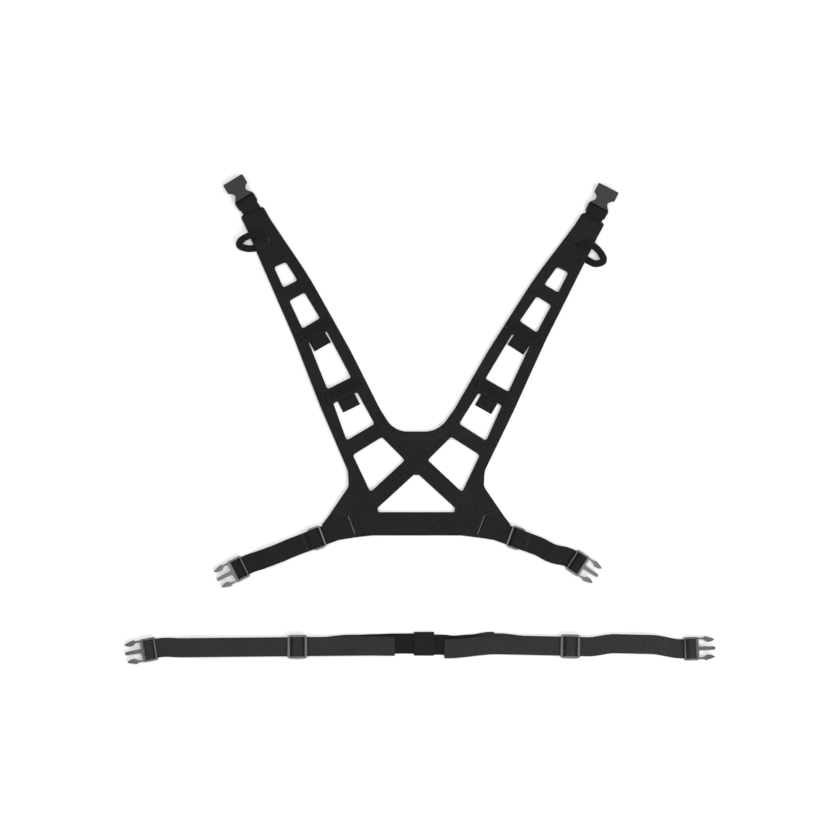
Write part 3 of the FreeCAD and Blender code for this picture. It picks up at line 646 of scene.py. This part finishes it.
def arm_lift(place):
    """Millimetres by which the laminate rises: over the doubled webbing at the arms' ends, and in waves."""
    lift = 0.0
    for side in SIDES:
        away = (Vector((place.x, place.y, 0)) - ARM_ENDS[side]).length / MM
        lift = max(lift, END_RISE * smooth((END_REACH - away) / END_SLOPE))
    y = place.y / MM
    begun = smooth((y - WAVE_FROM_Y[0]) / WAVE_FROM_Y[1])
    ended = smooth((y - WAVE_TO_Y[0]) / WAVE_TO_Y[1])
    wave = noise.noise(Vector((place.x * WAVE_SCALE, place.y * WAVE_SCALE, WAVE_SLICE))) + WAVE_SHIFT
    return lift + begun * (1 - ended) * max(0.0, wave) * WAVE_HEIGHT


# ---------------------------------------------------------------- the yoke
def grid_cut(bm, spacing):
    """Cuts a mesh along a square grid in plan."""
    for axis in (0, 1):
        values = [v.co[axis] for v in bm.verts]
        normal = Vector((1, 0, 0)) if axis == 0 else Vector((0, 1, 0))
        place = math.ceil(min(values) / spacing) * spacing
        while place < max(values):
            geometry = bm.verts[:] + bm.edges[:] + bm.faces[:]
            bmesh.ops.bisect_plane(bm, geom=geometry, plane_co=normal * place, plane_no=normal,
                                   dist=SAME_PLACE)
            place += spacing


def plain_copy(node):
    """A node's mesh as a bmesh with its flat faces whole."""
    bm = bmesh.new()
    bm.from_mesh(NODES[node].data)
    bmesh.ops.remove_doubles(bm, verts=bm.verts, dist=SAME_PLACE)
    bmesh.ops.dissolve_limit(bm, angle_limit=math.radians(0.5), verts=bm.verts, edges=bm.edges)
    return bm


def sharp_edges(bm, angle):
    return [e for e in bm.edges if len(e.link_faces) == 2 and e.calc_face_angle() > angle]


def make_yoke():
    bm = plain_copy("yoke_panel")
    rims = sharp_edges(bm, math.radians(60))
    bmesh.ops.bevel(bm, geom=rims, offset=EDGE_ROUND * MM, segments=2, profile=0.5, affect="EDGES",
                    clamp_overlap=True)
    bmesh.ops.triangulate(bm, faces=[f for f in bm.faces if len(f.verts) > 4])
    grid_cut(bm, GRID * MM)
    bm.normal_update()
    # sloping and upright faces get the edge finish, which is lighter as a painted highlight
    for face in bm.faces:
        face.material_index = 0 if abs(face.normal.z) > 0.98 else 1
    for vert in bm.verts:
        vert.co.z += arm_lift(vert.co) * MM
    yoke = finished("yoke", bm, [LAMINATE, EDGE], 35)
    return settle(yoke, "yoke", "laminate", "yoke_panel")


# ---------------------------------------------------------------- straps
def make_arm_strap(side):
    fold, heading = fold_place(f"socket_{side}_fold")
    lane = Lane(fold, heading, heading)
    corners = [(ARM_TOP_END, STACKED, 0)] + LOOP_OF_SOCKET + [(ARM_UNDER_END, UNDER, 0)]
    # the darker webbing on this strap is painted shade
    strap = ribbon(f"arm_strap_{side}", lane, corners, WEBBING_WIDTH, WEBBING_THICK, SHADED_WEBBING)
    ends = [lane.place(s, 0, FOLD_LEVEL) for s in ARM_BEND]
    return bending(strap, ("yoke", f"socket_{side}"), *ends, "webbing",
                   f"arm_webbing_{side}", f"socket_{side}_webbing")


def make_slot_backing(side):
    """The patch under the corner of the yoke, with the slit that the side strap comes up through."""
    lane = side_lane(side)
    back = -SIDE_LENGTH[side]
    rings = []
    for ends, half in (BACKING, BACKING_SLIT):
        first, last = (back + end for end in ends)
        rings.append([(first, -half), (last, -half), (last, half), (first, half)])
    bm = bmesh.new()
    levels = []
    for z in BACKING_LEVELS:
        levels.append([[bm.verts.new(lane.place(s, t, z)) for s, t in ring] for ring in rings])
    for i in range(4):
        j = (i + 1) % 4
        for ring in levels:
            bm.faces.new((ring[0][i], ring[0][j], ring[1][j], ring[1][i]))
        for k in (0, 1):
            bm.faces.new((levels[0][k][i], levels[0][k][j], levels[1][k][j], levels[1][k][i]))
    return settle(finished(f"slot_backing_{side}", bm, [LAMINATE], 30), "yoke", "laminate")


def make_slot_highlight(side):
    """A thin light-grey strip along the slot, on the side away from the strap: a painted highlight where the
    slot's cut edge catches the light.
    """
    back = -SIDE_LENGTH[side]
    path = [(back + end, HIGHLIGHT_LEVEL, 0) for end in HIGHLIGHT_ENDS]
    highlight_strip = ribbon(f"slot_painted_highlight_{side}", side_lane(side), path, HIGHLIGHT_WIDTH, HIGHLIGHT_THICK, SLOT_HIGHLIGHT)
    settle(highlight_strip, "yoke", "laminate")


def side_lane(side):
    fold, mean = fold_place(f"side_{side}_fold")
    strap = slide_heading(f"side_slider_{side}_slide")
    return Lane(fold, strap, 2 * mean - strap, SIDE_BOWS[side])


def make_side_strap(side):
    lane = side_lane(side)
    back = -SIDE_LENGTH[side]
    from_slot = SIDE_FROM_SLOT + [SIDE_FLAT_END[side], SIDE_CREST[side]]
    corners = [(back + s, z, radius) for s, z, radius in from_slot]
    corners += [SIDE_TOUCHDOWN] + SIDE_LOOPS[side] + [(SIDE_UNDER_END, UNDER, 0)]
    # the darker webbing on this strap is painted shade
    strap = ribbon(f"side_strap_piece_{side}", lane, corners, WEBBING_WIDTH, WEBBING_THICK, SHADED_WEBBING)
    ends = [lane.place(s, 0, FOLD_LEVEL) for s in PRONG_BEND]
    return bending(strap, ("yoke", f"side_{side}_end"), *ends, "webbing",
                   f"side_strap_{side}", f"side_{side}_webbing")


def waist_lane(side):
    fold, mean = fold_place(f"waist_{side}_fold")
    strap = slide_heading(f"waist_slider_{side}_slide")
    return Lane(fold, strap, 2 * mean - strap, WAIST_BOWS[side])


def make_waist_strap(side):
    lane = waist_lane(side)
    reach = {x: -abs((x * MM - lane.fold.x) / math.cos(lane.strap)) / MM
             for x in (WAIST_BASE_X[side], WAIST_TAIL_X[side])}
    upper = WAIST_BASE + WAIST_LAYER
    corners = [
        (reach[WAIST_BASE_X[side]], WAIST_BASE, 0), (WAIST_LEVEL_END, WAIST_BASE, WAIST_BEND),
        (WAIST_TOP, WAIST_BASE + WAIST_CREST, WAIST_BEND), (WAIST_TOUCHDOWN, UNDER, WAIST_BEND),
        *reversed(LOOP_OF_PRONGS),
        (WAIST_TOUCHDOWN, STACKED, WAIST_BEND), (WAIST_TOP, upper + WAIST_CREST, WAIST_BEND),
        (WAIST_LEVEL_END, upper, WAIST_BEND), (reach[WAIST_TAIL_X[side]], upper, 0),
    ]
    outward = -1 if side == "left" else 1
    tail_x, tail_end, tail_height = TAIL_SWAY[side]
    base_x, base_end, base_height = BASE_SWAY[side]

    def sway(s, z):
        x = lane.fold.x / MM + outward * s
        if z > WAIST_BASE + WAIST_LAYER / 2:
            return tail_height * smooth((tail_end - x) / (tail_end - tail_x))
        return base_height * smooth((base_end - x) / (base_end - base_x))

    strap = ribbon(f"waist_strap_piece_{side}", lane, corners, WEBBING_WIDTH, WEBBING_THICK, WEBBING,
                   sway=sway)
    ends = [lane.place(s, 0, FOLD_LEVEL) for s in PRONG_BEND]
    return bending(strap, ("waist", f"waist_{side}_end"), *ends, "webbing",
                   f"waist_strap_{side}", f"waist_{side}_webbing")


def make_elastic():
    low, high = (Vector(p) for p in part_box("waist_elastic"))
    lane = Lane(Vector((high.x, (low.y + high.y) / 2, 0)), 0.0, 0.0)
    middle = (low.z + high.z) / 2 / MM
    length = (high.x - low.x) / MM

    def sway(s, z):
        x = s + length
        for (x0, y0), (x1, y1) in zip(ELASTIC_WAVE, ELASTIC_WAVE[1:]):
            if x <= x1:
                return y0 + (y1 - y0) * smooth((x - x0) / (x1 - x0))
        return ELASTIC_WAVE[-1][1]

    band = ribbon("waist_elastic_band", lane, [(-length, middle, 0), (0.0, middle, 0)],
                  (high.y - low.y) / MM, ELASTIC_THICK, ELASTIC, sway=sway)
    return settle(band, "waist", "elastic", "waist_elastic")


def make_keeper():
    low, high = (Vector(p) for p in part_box("waist_keeper"))
    outer = ((high.y - low.y) / MM - KEEPER_THICK) / 2
    rise = ((high.z - low.z) / MM - KEEPER_THICK) / 2
    middle = (low.z + high.z) / 2 / MM
    top, bottom = rise + middle, -rise + middle
    corners = [
        (0.0, top, 0), (outer, top, KEEPER_BEND), (outer, bottom, KEEPER_BEND),
        (-outer, bottom, KEEPER_BEND), (-outer, top, KEEPER_BEND), (-KEEPER_SEAM, top, 0),
    ]
    lane = Lane(Vector(((low.x + high.x) / 2, (low.y + high.y) / 2, 0)), math.pi / 2, math.pi / 2)
    sleeve = ribbon("keeper_sleeve", lane, corners, (high.x - low.x) / MM, KEEPER_THICK, TAPE_AND_SHADE)
    return settle(sleeve, "keeper", "webbing", "waist_keeper")


# ---------------------------------------------------------------- rungs, tabs and loops
def make_rung(side, level):
    node = f"rung_band_{side}_{level}"
    middle, heading, length, width = plan_frame(node)
    lane = Lane(middle, heading, heading)
    half = length / MM / 2 - RUNG_SPARE
    corners = [
        (-half + RUNG_TUCK, RUNG_LOW, 0), (-half, RUNG_LOW, RUNG_BEND), (-half, RUNG_HIGH, RUNG_BEND),
        (half, RUNG_HIGH, RUNG_BEND), (half, RUNG_LOW, RUNG_BEND), (half - RUNG_TUCK, RUNG_LOW, 0),
    ]

    def lift(place):
        ripple = RIPPLE_HEIGHT * math.sin((place - middle).length / MM * RIPPLE_RATE)
        return arm_lift(place) + (max(0.0, ripple) if place.z > SHEET_TOP * MM else 0.0)

    band = ribbon(f"rung_{side}_{level}", lane, corners, width / MM, ELASTIC_THICK, RUNG_ELASTIC, lift)
    return settle(band, "yoke", "elastic", node)


def make_tab(side, level):
    node = f"tab_{side}_{level}"
    fold, heading = fold_place(f"tab_{side}_{level}_fold")
    lane = Lane(fold, heading, heading)
    corners = [(end, TAB_LEVEL, 0) for end in TAB_ENDS]

    def lift(place):
        return arm_lift(fold)

    # the tab's darker tape is painted shade from the window's shadow
    tab = ribbon(f"pull_tab_{side}_{level}", lane, corners, WEBBING_WIDTH, WEBBING_THICK, TAPE_AND_SHADE, lift)
    ends = [lane.place(s, 0, TAB_BEND_LEVEL) for s in TAB_BEND]
    return bending(tab, ("yoke", node), *ends, "webbing", node, "tab_sewn_ends")


def smooth_curve(points, steps=7):
    """A smooth curve through points, as a list of vectors."""
    curve = []
    padded = [points[0] * 2 - points[1]] + points + [points[-1] * 2 - points[-2]]
    for a, b, c, d in zip(padded, padded[1:], padded[2:], padded[3:]):
        for i in range(steps):
            t = i / steps
            curve.append(((b * 2) + (c - a) * t + (a * 2 - b * 5 + c * 4 - d) * t ** 2
                          + (b * 3 - a - c * 3 + d) * t ** 3) * 0.5)
    return curve + [points[-1]]


def make_loop(side):
    """A cable loop: out of its slit, arching over the arm's edge and back underneath.

    The elastic is carried along the curve without twisting, and what it lacks at the far end to lie
    flat there is spread evenly over its length.
    """
    node = f"cable_loop_{side}"
    corner = Vector(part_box(node)[0])
    corner.z = 0.0
    points = [corner + Vector(p) * MM for p in LOOP_POINTS[side]]
    angle = math.radians(LOOP_LIE[side])
    along_arm = Vector((math.cos(angle), math.sin(angle), 0))
    curve = smooth_curve(points)
    outline = section(LOOP_WIDTH, ELASTIC_THICK)
    last = len(curve) - 1
    tangents = [(curve[min(i + 1, last)] - curve[max(i - 1, 0)]).normalized() for i in range(len(curve))]
    lies = [along_arm]
    for tangent in tangents:
        lies.append((lies[-1] - tangent * lies[-1].dot(tangent)).normalized())
    flat = tangents[-1].cross(UP).normalized()
    if flat.dot(lies[-1]) < 0:
        flat = -flat
    twist = math.atan2(lies[-1].cross(flat).dot(tangents[-1]), lies[-1].dot(flat))
    rings, lengths, total = [], [], 0.0
    for i, (point, tangent, lie) in enumerate(zip(curve, tangents, lies[1:])):
        across = Quaternion(tangent, twist * i / last) @ lie
        through = tangent.cross(across).normalized()
        ring = [point + across * (x * MM) + through * (y * MM) for x, y in outline]
        for place in ring:
            place.z = max(place.z, 0.0)
        rings.append(ring)
        total += (point - curve[i - 1]).length if i else 0.0
        lengths.append(total)
    loop = swept(f"cable_loop_piece_{side}", rings, lengths, outline, [LOOP_ELASTIC])
    return settle(loop, "yoke", "elastic", node)


def make_sleeve(side):
    """Webbing folded over the slider's outer bar and sewn back on itself, with its seam."""
    name = f"side_slider_{side}"
    low, high = (Vector(p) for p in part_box(name))
    middle = (low + high) / 2
    middle.z = 0.0
    heading = slide_heading(f"{name}_slide")
    lane = Lane(middle, heading, heading)
    # the darker webbing on this sleeve is painted shade
    sleeve = ribbon(f"slider_sleeve_{side}", lane, SLEEVE, WEBBING_WIDTH, WEBBING_THICK, SHADED_WEBBING)
    settle(sleeve, name, "webbing")
    half = WEBBING_WIDTH / 2 - SEAM_INSET
    seam = stitches(f"slider_seam_{side}", [
        (lane.place(s, -half, SEAM_LEVEL), lane.place(s, half, SEAM_LEVEL), SEAM_STITCHES)
        for s in SLEEVE_SEAM
    ], SEAM_THREAD)
    settle(seam, name, "webbing")


def make_crown(side):
    """The hump where the strap climbs over the waist slider's middle bar, with a slot on either side."""
    name = f"waist_slider_{side}"
    low, high = (Vector(p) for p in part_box(name))
    middle = (low + high) / 2
    middle.z = 0.0
    heading = slide_heading(f"{name}_slide")
    lane = Lane(middle, heading, heading)
    crown = ribbon(f"slider_crown_{side}", lane, CROWN, WEBBING_WIDTH, WEBBING_THICK, WEBBING)
    settle(crown, name, "webbing")


def tack(lane, s, half, z):
    """Two rows of stitches across a band: one sewn bar."""
    return [(lane.place(row, -half, z), lane.place(row, half, z), TACK_STITCHES) for row in (s, s + TACK_ROW)]


def make_rung_tacks(side, level):
    node = f"rung_band_{side}_{level}"
    middle, heading, length, width = plan_frame(node)
    lane = Lane(middle, heading, heading)
    half = length / MM / 2
    runs = []
    for end in (-half + TACK_INSETS[0], half - TACK_INSETS[1]):
        height = TACK_LEVEL + arm_lift(lane.place(end, 0, 0))
        runs += tack(lane, end, width / MM / 2 - TACK_MARGIN, height)
    return settle(stitches(f"rung_tacks_{side}_{level}", runs, TACK_THREAD), "yoke", "elastic")


def make_neck_line():
    """A dotted line sewn through the laminate, a finger's width inside the neck edge."""
    top = [v.co for v in NODES["yoke_panel"].data.vertices if v.co.z > NECK_FACE * MM]
    rim = {}
    for co in top:
        column = round(co.x / (NECK_COLUMN * MM))
        near = abs(co.x) < NECK_HALF * MM and abs(co.y) < NECK_Y * MM
        if near and (column not in rim or co.y > rim[column].y):
            rim[column] = co
    edge = [rim[c] for c in sorted(rim)]
    inner = []
    for before, here, after in zip(edge, edge[1:], edge[2:]):
        tangent = after - before
        tangent.z = 0.0
        tangent.normalize()
        place = here + Vector((tangent.y, -tangent.x, 0)) * (NECK_INSET * MM)
        place.z = (SHEET_TOP + arm_lift(place)) * MM
        inner.append(place)
    runs = []
    for a, b in zip(inner, inner[1:]):
        runs.append((a, b, max(1, round((b - a).length / MM / NECK_PITCH))))
    return settle(stitches("neck_line", runs, NECK_THREAD), "yoke", "laminate")


def make_everything():
    make_yoke()
    for side in SIDES:
        make_arm_strap(side)
        make_side_strap(side)
        make_slot_backing(side)
        make_slot_highlight(side)
        make_waist_strap(side)
        make_loop(side)
        make_sleeve(side)
        make_crown(side)
        for level in ("upper", "lower"):
            make_rung(side, level)
            make_rung_tacks(side, level)
            make_tab(side, level)
    make_neck_line()
    make_elastic()
    make_keeper()


def finish_moulding(node):
    """Gives a moulded CAD node its plastic and softened edges."""
    obj = NODES[node]
    obj.data.materials.clear()
    obj.data.materials.append(ACETAL if "socket" in node else POLISHED)
    weld = obj.modifiers.new("weld", "WELD")
    weld.merge_threshold = 2e-6
    flat = obj.modifiers.new("flat", "DECIMATE")
    flat.decimate_type = "DISSOLVE"
    flat.angle_limit = math.radians(1.5)
    bevel = obj.modifiers.new("bevel", "BEVEL")
    bevel.width = (SLIDER_ROUND if "slider" in node else BUCKLE_ROUND) * MM
    bevel.segments = 4
    bevel.limit_method = "ANGLE"
    bevel.angle_limit = math.radians(35)
    bevel.harden_normals = True


make_everything()
for node in NODES:
    if node.endswith(("_buckle", "_prong_a", "_prong_b")) or "_slider_" in node:
        finish_moulding(node)


# ---------------------------------------------------------------- floor, light and camera
def make_floor():
    bm = bmesh.new()
    bmesh.ops.create_grid(bm, x_segments=8, y_segments=8, size=FLOOR_HALF)
    floor = finished("floor", bm, [paper_material()])
    floor.location.z = FLOOR_LEVEL


def area_light(name, place, size, power, target):
    data = bpy.data.lights.new(name, "AREA")
    data.shape = "RECTANGLE"
    data.size, data.size_y = size
    data.energy = power
    light = bpy.data.objects.new(name, data)
    light.location = place
    light.rotation_euler = (Vector(target) - Vector(place)).to_track_quat("-Z", "Y").to_euler()
    bpy.context.scene.collection.objects.link(light)


def make_world():
    world = bpy.data.worlds.new("studio")
    world.use_nodes = True
    background = world.node_tree.nodes["Background"]
    background.inputs["Color"].default_value = (1, 1, 1, 1)
    background.inputs["Strength"].default_value = WORLD_LIGHT
    bpy.context.scene.world = world


def make_camera():
    elevation = math.radians(CAMERA_ELEVATION)
    camera = bpy.data.objects.new("camera", bpy.data.cameras.new("camera"))
    camera.data.sensor_width = 36.0
    camera.data.lens = CAMERA_LENS
    camera.data.dof.use_dof = False
    outward = Vector((0, -math.cos(elevation), math.sin(elevation)))
    camera.location = CAMERA_TARGET + outward * CAMERA_DISTANCE
    camera.rotation_euler = (CAMERA_TARGET - camera.location).to_track_quat("-Z", "Y").to_euler()
    bpy.context.scene.collection.objects.link(camera)
    bpy.context.scene.camera = camera


make_floor()
for name, settings in LIGHTS.items():
    area_light(name, *settings)
make_world()
bpy.context.scene.view_settings.view_transform = "Standard"
make_camera()
